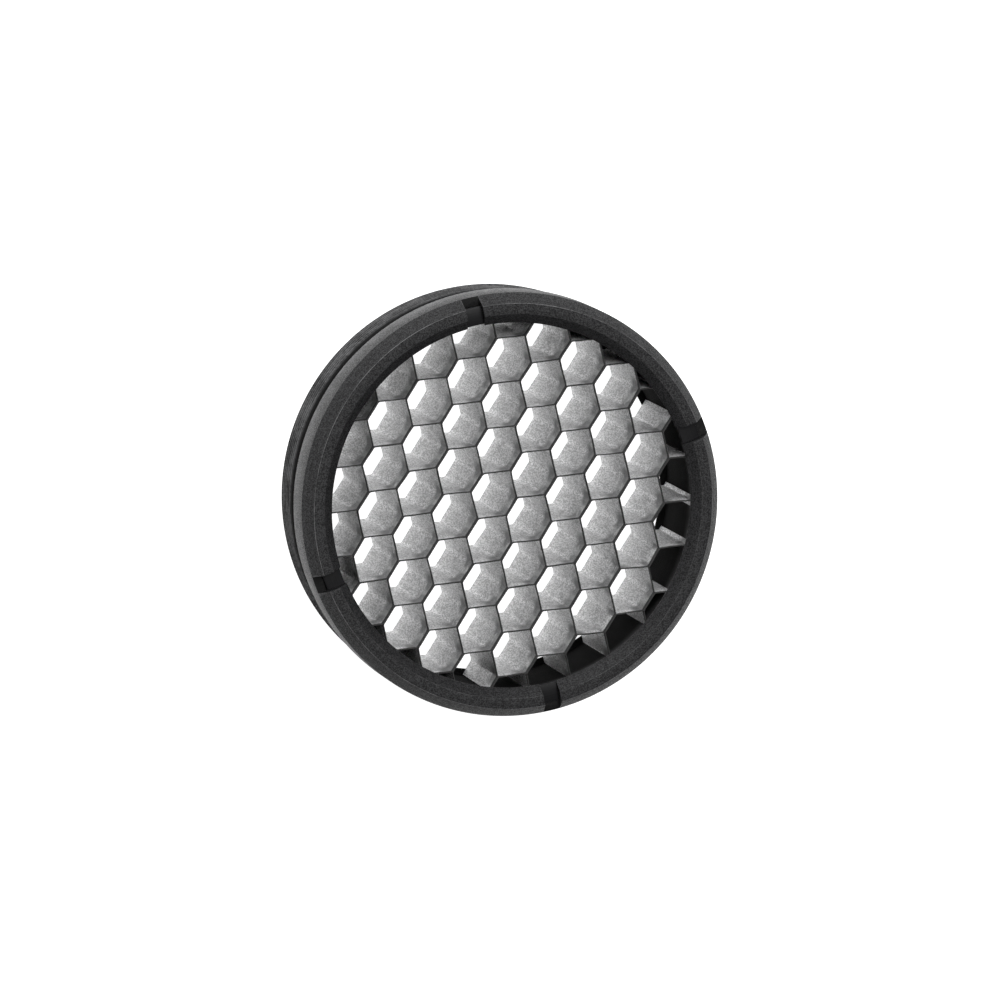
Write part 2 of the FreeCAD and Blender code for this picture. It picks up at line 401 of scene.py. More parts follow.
class NodeSheet:
    """Short hand for placing and linking nodes in one tree."""

    def __init__(self, tree):
        self.tree = tree

    def add(self, kind, **settings):
        node = self.tree.nodes.new(kind)
        for key, value in settings.items():
            setattr(node, key, value)
        return node

    def feed(self, value, socket):
        """Link a socket, or set a plain value."""
        if isinstance(value, bpy.types.NodeSocket):
            self.tree.links.new(value, socket)
        else:
            socket.default_value = value

    def math(self, operation, *values, clamp=False):
        node = self.add("ShaderNodeMath", operation=operation, use_clamp=clamp)
        for value, socket in zip(values, node.inputs):
            self.feed(value, socket)
        return node.outputs[0]

    def times(self, first, second, clamp=False):
        return self.math("MULTIPLY", first, second, clamp=clamp)

    def plus(self, first, second):
        return self.math("ADD", first, second)

    def attribute(self, name):
        return self.add("ShaderNodeAttribute", attribute_name=name).outputs["Fac"]

    def ramp(self, value, low, high, to_low=0.0, to_high=1.0):
        """Smooth step of a value between two limits."""
        node = self.add("ShaderNodeMapRange", interpolation_type="SMOOTHSTEP")
        for key, item in (("Value", value), ("From Min", low), ("From Max", high),
                          ("To Min", to_low), ("To Max", to_high)):
            self.feed(item, node.inputs[key])
        return node.outputs["Result"]

    def noise(self, vector, scale, detail=2.0, roughness=0.5, distortion=0.0):
        node = self.add("ShaderNodeTexNoise")
        for key, item in (("Vector", vector), ("Scale", scale), ("Detail", detail),
                          ("Roughness", roughness), ("Distortion", distortion)):
            self.feed(item, node.inputs[key])
        return node.outputs["Fac"]

    def height(self, vector):
        """Height above the rear face."""
        split = self.add("ShaderNodeSeparateXYZ")
        self.feed(vector, split.inputs[0])
        return split.outputs["Z"]

    def radius(self, vector):
        """Distance from the optical axis."""
        node = self.add("ShaderNodeVectorMath", operation="LENGTH")
        self.feed(self.stretch(vector, (1.0, 1.0, 0.0)), node.inputs[0])
        return node.outputs["Value"]

    def stretch(self, vector, scale):
        node = self.add("ShaderNodeVectorMath", operation="MULTIPLY")
        self.feed(vector, node.inputs[0])
        self.feed(scale, node.inputs[1])
        return node.outputs[0]

    def mix(self, share, first, second):
        node = self.add("ShaderNodeMix", data_type="RGBA")
        self.feed(share, node.inputs["Factor"])
        self.feed(first, node.inputs["A"])
        self.feed(second, node.inputs["B"])
        return node.outputs["Result"]


def node_group(name, inputs, outputs):
    """Empty shader group with its named sockets, and its sheet, input and output nodes."""
    tree = bpy.data.node_groups.new(name, "ShaderNodeTree")
    for label, kind, default in inputs:
        socket = tree.interface.new_socket(label, in_out="INPUT", socket_type=kind)
        if default is not None:
            socket.default_value = default
    for label, kind in outputs:
        tree.interface.new_socket(label, in_out="OUTPUT", socket_type=kind)
    sheet = NodeSheet(tree)
    return tree, sheet, sheet.add("NodeGroupInput"), sheet.add("NodeGroupOutput")


def blast_grain_group():
    """Fine, even grain of a bead-blasted surface."""
    tree, sheet, given, result = node_group(
        "Blast grain",
        [("Vector", "NodeSocketVector", None), ("Grains per metre", "NodeSocketFloat", 5000.0)],
        [("Tone", "NodeSocketFloat"), ("Height", "NodeSocketFloat")])
    fine = sheet.noise(given.outputs["Vector"], given.outputs["Grains per metre"], 2.0, 0.65)
    coarse_scale = sheet.times(given.outputs["Grains per metre"], 0.3)
    coarse = sheet.noise(given.outputs["Vector"], coarse_scale, 2.0, 0.5)
    pits = sheet.add("ShaderNodeTexVoronoi")
    sheet.feed(given.outputs["Vector"], pits.inputs["Vector"])
    sheet.feed(given.outputs["Grains per metre"], pits.inputs["Scale"])
    sum_tone = sheet.plus(fine, sheet.times(coarse, 0.2))
    tone = sheet.ramp(sum_tone, 0.48, 0.72)
    height = sheet.plus(fine, sheet.times(pits.outputs["Distance"], 0.6))
    sheet.feed(tone, result.inputs["Tone"])
    sheet.feed(height, result.inputs["Height"])
    return tree


def lathe_marks_group():
    """Uneven turning marks that run round the optical axis."""
    tree, sheet, given, result = node_group(
        "Lathe marks",
        [("Vector", "NodeSocketVector", None), ("Marks per metre", "NodeSocketFloat", 9000.0)],
        [("Tone", "NodeSocketFloat"), ("Height", "NodeSocketFloat")])
    along = sheet.plus(sheet.radius(given.outputs["Vector"]),
                       sheet.height(given.outputs["Vector"]))
    marks = sheet.add("ShaderNodeTexNoise", noise_dimensions="1D")
    sheet.feed(along, marks.inputs["W"])
    sheet.feed(given.outputs["Marks per metre"], marks.inputs["Scale"])
    sheet.feed(1.0, marks.inputs["Detail"])
    sheet.feed(sheet.ramp(marks.outputs["Fac"], 0.3, 0.7), result.inputs["Tone"])
    sheet.feed(marks.outputs["Fac"], result.inputs["Height"])
    return tree


def edge_highlight_group():
    """Painted highlight along an outer edge, broken up by noise."""
    tree, sheet, given, result = node_group(
        "Edge wear",
        [("Vector", "NodeSocketVector", None), ("Edge", "NodeSocketFloat", 0.0),
         ("Amount", "NodeSocketFloat", 0.5)],
        [("Mask", "NodeSocketFloat")])
    patches = sheet.noise(given.outputs["Vector"], 260.0, 3.0, 0.6)
    nibbles = sheet.noise(given.outputs["Vector"], 2400.0, 2.0, 0.6)
    broken = sheet.ramp(sheet.plus(patches, sheet.times(nibbles, 0.6)), 0.62, 1.0)
    lit_edge = sheet.times(given.outputs["Edge"], sheet.plus(broken, 0.35))
    sheet.feed(sheet.times(lit_edge, given.outputs["Amount"], clamp=True),
               result.inputs["Mask"])
    return tree


def smudge_group():
    """Soft patches of handling, oxide or dust."""
    tree, sheet, given, result = node_group(
        "Smudges",
        [("Vector", "NodeSocketVector", None), ("Patches per metre", "NodeSocketFloat", 300.0),
         ("Cover", "NodeSocketFloat", 0.5)],
        [("Mask", "NodeSocketFloat")])
    cloud = sheet.noise(given.outputs["Vector"], given.outputs["Patches per metre"], 4.0, 0.62, 0.4)
    start = sheet.math("SUBTRACT", 0.85, sheet.times(given.outputs["Cover"], 0.6))
    end = sheet.plus(start, 0.28)
    sheet.feed(sheet.ramp(cloud, start, end), result.inputs["Mask"])
    return tree


GROUP_MAKERS = {
    "Blast grain": blast_grain_group,
    "Lathe marks": lathe_marks_group,
    "Edge wear": edge_highlight_group,
    "Smudges": smudge_group,
}


def place_group(sheet, name, **values):
    """Place a shared effect in a material and set or link its inputs."""
    tree = bpy.data.node_groups.get(name) or GROUP_MAKERS[name]()
    node = sheet.add("ShaderNodeGroup", node_tree=tree)
    for label, value in values.items():
        sheet.feed(value, node.inputs[label.replace("_", " ")])
    return node.outputs


def smudges(sheet, place, per_metre, cover):
    return place_group(sheet, "Smudges", Vector=place, Patches_per_metre=per_metre,
                       Cover=cover)["Mask"]


def rgba(values, scale=1.0):
    return (scale * values[0], scale * values[1], scale * values[2], 1.0)


def new_material(name):
    """A new material with its sheet, its shader and the object coordinates."""
    material = bpy.data.materials.new(name)
    material.use_nodes = True
    material.node_tree.nodes.clear()
    sheet = NodeSheet(material.node_tree)
    shader = sheet.add("ShaderNodeBsdfPrincipled")
    end = sheet.add("ShaderNodeOutputMaterial")
    sheet.feed(shader.outputs["BSDF"], end.inputs["Surface"])
    place = sheet.add("ShaderNodeTexCoord").outputs["Object"]
    return material, sheet, shader, place


def bump(sheet, shader, height, strength, depth):
    node = sheet.add("ShaderNodeBump")
    node.inputs["Strength"].default_value = strength
    node.inputs["Distance"].default_value = depth
    sheet.feed(height, node.inputs["Height"])
    sheet.feed(node.outputs["Normal"], shader.inputs["Normal"])


def anodise_material(name, colour_value, painted_highlight, lathe_share, shine, bore_radius=0.0):
    """Black anodised aluminium: blasted grain over turning marks, with a painted highlight on its edges.

    Inside the bore radius it has painted light near the mouth and painted shade deeper in.
    """
    finish = bpy.context.scene.honeycomb_finish
    material, sheet, shader, place = new_material(name)
    grain = place_group(sheet, "Blast grain", Vector=place, Grains_per_metre=1.0 / finish.grain_size)
    lathe = place_group(sheet, "Lathe marks", Vector=place, Marks_per_metre=1.0 / finish.lathe_size)
    edge = sheet.attribute("painted_highlight")
    lit_edge = place_group(sheet, "Edge wear", Vector=place, Edge=edge, Amount=painted_highlight)["Mask"]
    haze = smudges(sheet, place, 120.0, 0.45)
    tone = sheet.mix(lathe_share, grain["Tone"], lathe["Tone"])
    base = sheet.mix(tone, rgba(colour_value, 0.25), rgba(colour_value, 2.4))
    base = sheet.mix(sheet.times(haze, 0.35), base, rgba(colour_value, 2.0))
    # Painted highlight: the outer turned edges are painted lighter, broken up by noise.
    base = sheet.mix(lit_edge, base, rgba(finish.edge_highlight_colour))
    # Painted shadow in the spanner slots.
    base = sheet.mix(sheet.attribute("shaded"), base, rgba(finish.slot_shade_colour))
    rough = sheet.ramp(grain["Tone"], 0.0, 1.0, finish.anodise_rough + 0.12,
                       finish.anodise_rough - 0.08)
    rough = sheet.math("SUBTRACT", rough, sheet.times(lit_edge, 0.12))
    height = sheet.plus(sheet.times(grain["Height"], 1.0 - lathe_share),
                        sheet.times(lathe["Height"], lathe_share))
    # Painted light near the bore's mouth and painted shade deeper in.
    if bore_radius:
        bored = sheet.ramp(sheet.radius(place), bore_radius + 0.2 * MM, bore_radius + 0.1 * MM)
        mouth = sheet.ramp(sheet.height(place), BODY_HIGH.z - finish.bore_lit_depth, BODY_HIGH.z)
        inside = sheet.mix(mouth, rgba(finish.bore_shade_colour), rgba(finish.bore_lit_colour))
        base = sheet.mix(bored, base, inside)
        rough = sheet.math("MAXIMUM", rough, sheet.times(bored, 0.85))
    sheet.feed(base, shader.inputs["Base Color"])
    sheet.feed(rough, shader.inputs["Roughness"])
    shader.inputs["Specular IOR Level"].default_value = shine
    bump(sheet, shader, height, 1.0, finish.grain_relief)
    return material


def foil_material():
    """Bare aluminium foil: satin, rolled along the ribbons and stained, with a painted highlight on its
    folds, a painted dark reflection in its inner corners and a darker band along its edges.
    """
    finish = bpy.context.scene.honeycomb_finish
    material, sheet, shader, place = new_material("satin aluminium foil")
    long_grain = sheet.stretch(place, (1.0, 1.0, 0.3))
    grain = place_group(sheet, "Blast grain", Vector=long_grain, Grains_per_metre=5400.0)
    rolled = sheet.noise(sheet.stretch(place, (1.0, 1.0, 14.0)), 420.0, 3.0, 0.6)
    stain = smudges(sheet, place, 330.0, 0.5)
    above = sheet.height(place)
    near_front = sheet.ramp(above, FOIL_HIGH.z - finish.reflection_start, FOIL_HIGH.z - finish.reflection_full)
    blotch = smudges(sheet, place, 420.0, 1.0)
    dark_corner_reflection = sheet.times(sheet.times(sheet.attribute("corner"), near_front), blotch)
    base = sheet.mix(sheet.ramp(rolled, 0.35, 0.65), rgba(finish.foil_colour, 0.92),
                     rgba(finish.foil_colour))
    base = sheet.mix(sheet.times(stain, 0.45), base, rgba(finish.foil_dull_colour))
    # Painted highlight: the folds between the cell walls are painted lighter.
    base = sheet.mix(sheet.times(sheet.attribute("fold"), 0.45), base, rgba(finish.foil_colour, 1.45))
    # Painted dark reflection in the inner corners near the front, broken up by noise.
    base = sheet.mix(sheet.times(dark_corner_reflection, 2.2, clamp=True), base, rgba(finish.foil_dull_colour, 0.22))
    base = sheet.mix(sheet.times(grain["Tone"], 0.75), base, rgba(finish.foil_colour, 0.40))
    # The foil is painted darker along its front edge and a band below it, and along its rear edge.
    front_edge = sheet.ramp(above, FOIL_HIGH.z - finish.dark_edge_start, FOIL_HIGH.z - finish.dark_edge_full)
    rear_edge = sheet.ramp(above, FOIL_LOW.z + 0.20 * MM, FOIL_LOW.z + 0.05 * MM)
    sawn = sheet.math("MAXIMUM", front_edge, rear_edge)
    base = sheet.mix(sawn, base, rgba(finish.foil_edge_colour))
    sheet.feed(base, shader.inputs["Base Color"])
    metal = sheet.math("SUBTRACT", finish.foil_metal, sheet.times(sawn, finish.foil_metal))
    sheet.feed(metal, shader.inputs["Metallic"])
    rough = sheet.ramp(grain["Tone"], 0.0, 1.0, 0.42, 0.58)
    rough = sheet.plus(rough, sheet.times(stain, 0.10))
    rough = sheet.plus(rough, sheet.times(sawn, 0.3))
    sheet.feed(rough, shader.inputs["Roughness"])
    relief = sheet.plus(grain["Height"], sheet.times(rolled, 0.6))
    bump(sheet, shader, relief, 0.7, finish.foil_relief)
    return material


def rubber_material():
    """Dull black rubber with a moulded bloom."""
    finish = bpy.context.scene.honeycomb_finish
    material, sheet, shader, place = new_material("seal rubber")
    grain = place_group(sheet, "Blast grain", Vector=place, Grains_per_metre=9000.0)
    bloom = smudges(sheet, place, 420.0, 0.55)
    base = sheet.mix(sheet.times(bloom, 0.6), rgba(finish.rubber_colour),
                     rgba(finish.rubber_colour, 2.4))
    sheet.feed(base, shader.inputs["Base Color"])
    sheet.feed(sheet.ramp(grain["Tone"], 0.0, 1.0, 0.80, 0.95), shader.inputs["Roughness"])
    shader.inputs["Specular IOR Level"].default_value = finish.dull_shine
    bump(sheet, shader, grain["Height"], 0.4, finish.fine_relief)
    return material


def acetal_material():
    """Black acetal sheet with fine turning marks."""
    finish = bpy.context.scene.honeycomb_finish
    material, sheet, shader, place = new_material("washer acetal")
    lathe = place_group(sheet, "Lathe marks", Vector=place, Marks_per_metre=7000.0)
    base = sheet.mix(lathe["Tone"], rgba(finish.acetal_colour, 0.7),
                     rgba(finish.acetal_colour, 1.4))
    sheet.feed(base, shader.inputs["Base Color"])
    sheet.feed(sheet.ramp(lathe["Tone"], 0.0, 1.0, 0.32, 0.46), shader.inputs["Roughness"])
    shader.inputs["Specular IOR Level"].default_value = finish.dull_shine
    bump(sheet, shader, lathe["Height"], 0.4, finish.fine_relief)
    return material


# ---------------------------------------------------------------- stage

def stage_axes(stage):
    """Camera's right, up and backward directions."""
    aside = Vector((math.cos(stage.camera_side), math.sin(stage.camera_side), 0.0))
    back = math.sin(stage.camera_tilt) * aside + math.cos(stage.camera_tilt) * UP
    away = math.cos(stage.camera_tilt) * aside - math.sin(stage.camera_tilt) * UP
    over = back.cross(away)
    right = math.cos(stage.camera_roll) * away - math.sin(stage.camera_roll) * over
    up = math.sin(stage.camera_roll) * away + math.cos(stage.camera_roll) * over
    return right, up, back


def add_camera(stage):
    right, up, back = stage_axes(stage)
    data = bpy.data.cameras.new("camera")
    data.sensor_width = 36.0
    data.lens = data.sensor_width * stage.camera_distance / stage.frame_width
    data.clip_end = 20.0
    camera = bpy.data.objects.new("camera", data)
    target = Vector((0.0, 0.0, RING_HIGH.z))
    place = (target + stage.camera_distance * back - stage.frame_right * right
             + stage.frame_down * up)
    turn = Matrix((right, up, back)).transposed()
    camera.matrix_world = Matrix.Translation(place) @ turn.to_4x4()
    bpy.context.scene.collection.objects.link(camera)
    bpy.context.scene.camera = camera


def add_softbox(name, azimuth, elevation, reach, size, power):
    """Square area light that faces the middle of the part."""
    data = bpy.data.lights.new(name, "AREA")
    data.shape = "SQUARE"
    data.size = size
    data.energy = power
    lamp = bpy.data.objects.new(name, data)
    flat = math.cos(elevation)
    toward = Vector((flat * math.cos(azimuth), flat * math.sin(azimuth), math.sin(elevation)))
    lamp.matrix_world = (Matrix.Translation(toward * reach)
                         @ toward.to_track_quat("Z", "Y").to_matrix().to_4x4())
    bpy.context.scene.collection.objects.link(lamp)


def add_sky(stage):
    """Even surroundings, bright at the horizon and dimmer overhead."""
    world = bpy.data.worlds.new("studio")
    world.use_nodes = True
    world.node_tree.nodes.clear()
    sheet = NodeSheet(world.node_tree)
    end = sheet.add("ShaderNodeOutputWorld")
    sky = sheet.add("ShaderNodeBackground")
    split = sheet.add("ShaderNodeSeparateXYZ")
    sheet.feed(sheet.add("ShaderNodeTexCoord").outputs["Generated"], split.inputs[0])
    strength = sheet.ramp(split.outputs["Z"], 0.45, 0.92, stage.sky_horizon, stage.sky_top)
    sheet.feed(strength, sky.inputs["Strength"])
    sheet.feed(sky.outputs["Background"], end.inputs["Surface"])
    bpy.context.scene.world = world


def add_floor(stage):
    bm = bmesh.new()
    bmesh.ops.create_circle(bm, cap_ends=True, segments=96, radius=stage.floor_radius)
    floor = new_object("floor", bm)
    floor.data.transform(Matrix.Translation((0.0, 0.0, CAD_LOW.z - 0.02 * MM)))
    material, sheet, shader, place = new_material("pale floor")
    patches = sheet.noise(place, 9.0, 3.0, 0.5)
    pale = rgba(stage.floor_colour)
    tint = sheet.mix(patches, pale, rgba(stage.floor_colour, 0.96))
    sheet.feed(tint, shader.inputs["Base Color"])
    shader.inputs["Roughness"].default_value = 0.9
    shader.inputs["Emission Color"].default_value = (1.0, 1.0, 1.0, 1.0)
    shader.inputs["Emission Strength"].default_value = stage.floor_glow
    floor.data.materials.append(material)


class HONEYCOMB_OT_stage(bpy.types.Operator):
    """Camera, soft light and pale floor"""
    bl_idname = "honeycomb.stage"
    bl_label = "Stage"

    def execute(self, context):
        stage = context.scene.honeycomb_stage
        context.scene.view_settings.view_transform = "Standard"
        add_camera(stage)
        add_sky(stage)
        add_floor(stage)
        add_softbox("upper softbox", stage.upper_side, stage.upper_height, stage.upper_reach,
                    stage.upper_size, stage.upper_power)
        add_softbox("front softbox", stage.front_side, stage.front_height, stage.front_reach,
                    stage.front_size, stage.front_power)
        return {"FINISHED"}


# ---------------------------------------------------------------- pieces

class HONEYCOMB_OT_front_ring(bpy.types.Operator):
    """Slotted ring that clamps the honeycomb"""
    bl_idname = "honeycomb.front_ring"
    bl_label = "Front ring"

    def execute(self, context):
        sizes = context.scene.honeycomb_ring
        front = RING_HIGH.z
        outer = RING_HIGH.x
        land_outer = outer - sizes.outer_bevel_width
        skirt_inner = outer - sizes.skirt_wall
        aperture = skirt_inner - sizes.lip_reach
        lip_bottom = front - sizes.bevel_width - sizes.lip_thickness
        undercut = WASHER_HIGH.x + sizes.undercut_gap
        corners = [
            (aperture, lip_bottom),
            (aperture, lip_bottom + sizes.lip_thickness),
            (aperture + sizes.bevel_width, front),
            (land_outer, front),
            (outer, front - sizes.outer_bevel_depth),
            (outer, RING_LOW.z),
            (skirt_inner, RING_LOW.z),
            (skirt_inner, FOIL_HIGH.z),
            (undercut, FOIL_HIGH.z),
            (undercut, lip_bottom),
        ]
        ring = turned_piece("bezel_ring", corners, sizes.edge_round, sizes.turned_steps)
        for slot_angle in (math.pi / 2.0, math.pi / 2.0 - sizes.slot_line_angle):
            cut_away(ring, self.slot_cutter(sizes, slot_angle))
        round_sharp_edges(ring, sizes.slot_edge_round)
        # Painted highlight on the ring's outer turned edges.
        mark_edge_highlight(ring)
        self.mark_slot_shade(ring, sizes)
        shade(ring)
        finish = context.scene.honeycomb_finish
        material = anodise_material(
            "blasted black anodise", finish.ring_colour, finish.ring_edge_highlight, finish.ring_lathe,
            finish.ring_shine)
        finish_piece(ring, material, "ring", "ring_anodise", "front_ring")
        return {"FINISHED"}

    @staticmethod
    def mark_slot_shade(ring, sizes):
        """Store which points lie down in a slot, for the painted shadow there."""
        floor = RING_HIGH.z - sizes.slot_depth - sizes.slot_edge_round / 2.0
        brink = RING_HIGH.z - 2.0 * sizes.slot_edge_round
        shaded = ring.data.attributes.new("shaded", "FLOAT", "POINT")
        for slot_angle in (math.pi / 2.0, math.pi / 2.0 - sizes.slot_line_angle):
            across = Vector((-math.sin(slot_angle), math.cos(slot_angle), 0.0))
            for vert, mark in zip(ring.data.vertices, shaded.data):
                if (floor < vert.co.z < brink
                        and abs(vert.co.dot(across)) < sizes.slot_width / 2.0 + MERGE_DISTANCE):
                    mark.value = 1.0

    @staticmethod
    def slot_cutter(sizes, slot_angle):
        """Long block that cuts two opposite slots."""
        bm = bmesh.new()
        bmesh.ops.create_cube(bm, size=1.0)
        height = 2.0 * sizes.slot_depth
        shape = Matrix.Diagonal((3.0 * RING_HIGH.x, sizes.slot_width, height, 1.0))
        bmesh.ops.transform(bm, matrix=shape, verts=bm.verts[:])
        bmesh.ops.translate(bm, vec=(0.0, 0.0, RING_HIGH.z), verts=bm.verts[:])
        turn = Matrix.Rotation(slot_angle, 4, "Z")
        bmesh.ops.transform(bm, matrix=turn, verts=bm.verts[:])
        return new_object("slot_cutter", bm)


class HONEYCOMB_OT_rear_body(bpy.types.Operator):
    """Threaded tube that holds the honeycomb"""
    bl_idname = "honeycomb.rear_body"
    bl_label = "Threaded body"

    def execute(self, context):
        sizes = context.scene.honeycomb_body
        steps = context.scene.honeycomb_ring.turned_steps
        crest = BODY_HIGH.x
        shoulder = RING_LOW.z - sizes.closing_gap
        groove_top = shoulder - sizes.shank_length
        groove_bottom = groove_top - sizes.groove_width
        groove_radius = sizes.shank_radius - sizes.groove_depth
        corners = [
            (sizes.rear_lip_radius, 0.0),
            (sizes.rear_lip_radius, sizes.rear_lip_thickness),
            (sizes.bore_radius, sizes.rear_lip_thickness),
            (sizes.bore_radius, BODY_HIGH.z),
            (sizes.spigot_radius - sizes.spigot_chamfer, BODY_HIGH.z),
            (sizes.spigot_radius, BODY_HIGH.z - sizes.spigot_chamfer),
            (sizes.spigot_radius, shoulder),
            (sizes.shank_radius, shoulder),
            (sizes.shank_radius, groove_top),
            (groove_radius, groove_top),
            (groove_radius, groove_bottom),
            (crest, groove_bottom),
            (crest, sizes.rear_chamfer),
            (crest - sizes.rear_chamfer, 0.0),
        ]
        tube = turned_piece("threaded_body", corners, sizes.edge_round, steps)
        cut_away(tube, self.thread_cutter(sizes, crest, groove_bottom, steps))
        # Painted highlight on the thread crests and the body's other outer turned edges.
        mark_edge_highlight(tube, math.radians(20.0), math.radians(50.0))
        shade(tube)
        finish = context.scene.honeycomb_finish
        material = anodise_material(
            "turned black anodise", finish.body_colour, finish.body_edge_highlight, finish.body_lathe,
            finish.body_shine, sizes.bore_radius)
        finish_piece(tube, material, "body", "body_anodise", "rear_body")
        return {"FINISHED"}

    @staticmethod
    def thread_cutter(sizes, crest, groove_bottom, steps):
        """Helical groove that runs out into the seal's groove and out of the rear face."""
        root = crest - sizes.thread_depth
        half_root = sizes.thread_root / 2.0
        flank = math.tan(sizes.thread_angle / 2.0)
        reach = sizes.thread_depth + CUT_CLEARANCE
        half_mouth = half_root + reach * flank
        turns = math.ceil(groove_bottom / sizes.thread_pitch) + 1
        bm = bmesh.new()
        start = groove_bottom - (turns - 0.5) * sizes.thread_pitch
        outline(bm, [
            (root, start - half_root),
            (root + reach, start - half_mouth),
            (root + reach + CUT_OVERRUN, start - half_mouth),
            (root + reach + CUT_OVERRUN, start + half_mouth),
            (root + reach, start + half_mouth),
            (root, start + half_root),
        ])
        per_turn = steps // 2
        bmesh.ops.spin(
            bm, geom=bm.verts[:] + bm.edges[:], cent=(0.0, 0.0, 0.0), axis=UP,
            dvec=(0.0, 0.0, sizes.thread_pitch / per_turn), angle=FULL_TURN * turns,
            steps=per_turn * turns, use_merge=False, use_duplicate=False)
        bmesh.ops.holes_fill(bm, edges=bm.edges[:], sides=0)
        bmesh.ops.recalc_face_normals(bm, faces=bm.faces[:])
        return new_object("thread_cutter", bm)


class HONEYCOMB_OT_seal(bpy.types.Operator):
    """Rubber ring in front of the thread, and the slip washer under the front ring's lip"""
    bl_idname = "honeycomb.seal"
    bl_label = "Seal and washer"

    def execute(self, context):
        self.build_seal(context)
        self.build_washer(context)
        return {"FINISHED"}

    @staticmethod
    def build_seal(context):
        sizes = context.scene.honeycomb_seal
        section = (SEAL_HIGH.z - SEAL_LOW.z) / 2.0
        middle = (SEAL_HIGH.z + SEAL_LOW.z) / 2.0
        centre = SEAL_HIGH.x - section
        corners = []
        for step in range(sizes.section_steps):
            turn = FULL_TURN * step / sizes.section_steps
            # A line of moulding flash stands a little inside the section's outer and inner sides.
            reach = section - sizes.flash_height * (1.0 - abs(math.cos(turn)) ** 12)
            corners.append((centre + reach * math.cos(turn), middle + section * math.sin(turn)))
        seal = turned_piece("seal_ring", corners, 0.0, context.scene.honeycomb_ring.turned_steps)
        shade(seal, math.radians(60.0))
        finish_piece(seal, rubber_material(), "body", "seal_rubber", "grip_seal")

    @staticmethod
    def build_washer(context):
        sizes = context.scene.honeycomb_seal
        inner = WASHER_HIGH.x - sizes.washer_width
        corners = [
            (inner, WASHER_LOW.z),
            (WASHER_HIGH.x, WASHER_LOW.z),
            (WASHER_HIGH.x, WASHER_HIGH.z),
            (inner, WASHER_HIGH.z),
        ]
        steps = context.scene.honeycomb_ring.turned_steps
        washer = turned_piece("slip_washer_disc", corners, sizes.washer_round, steps)
        shade(washer)
        finish_piece(washer, acetal_material(), "washer", "washer_acetal", "slip_washer")


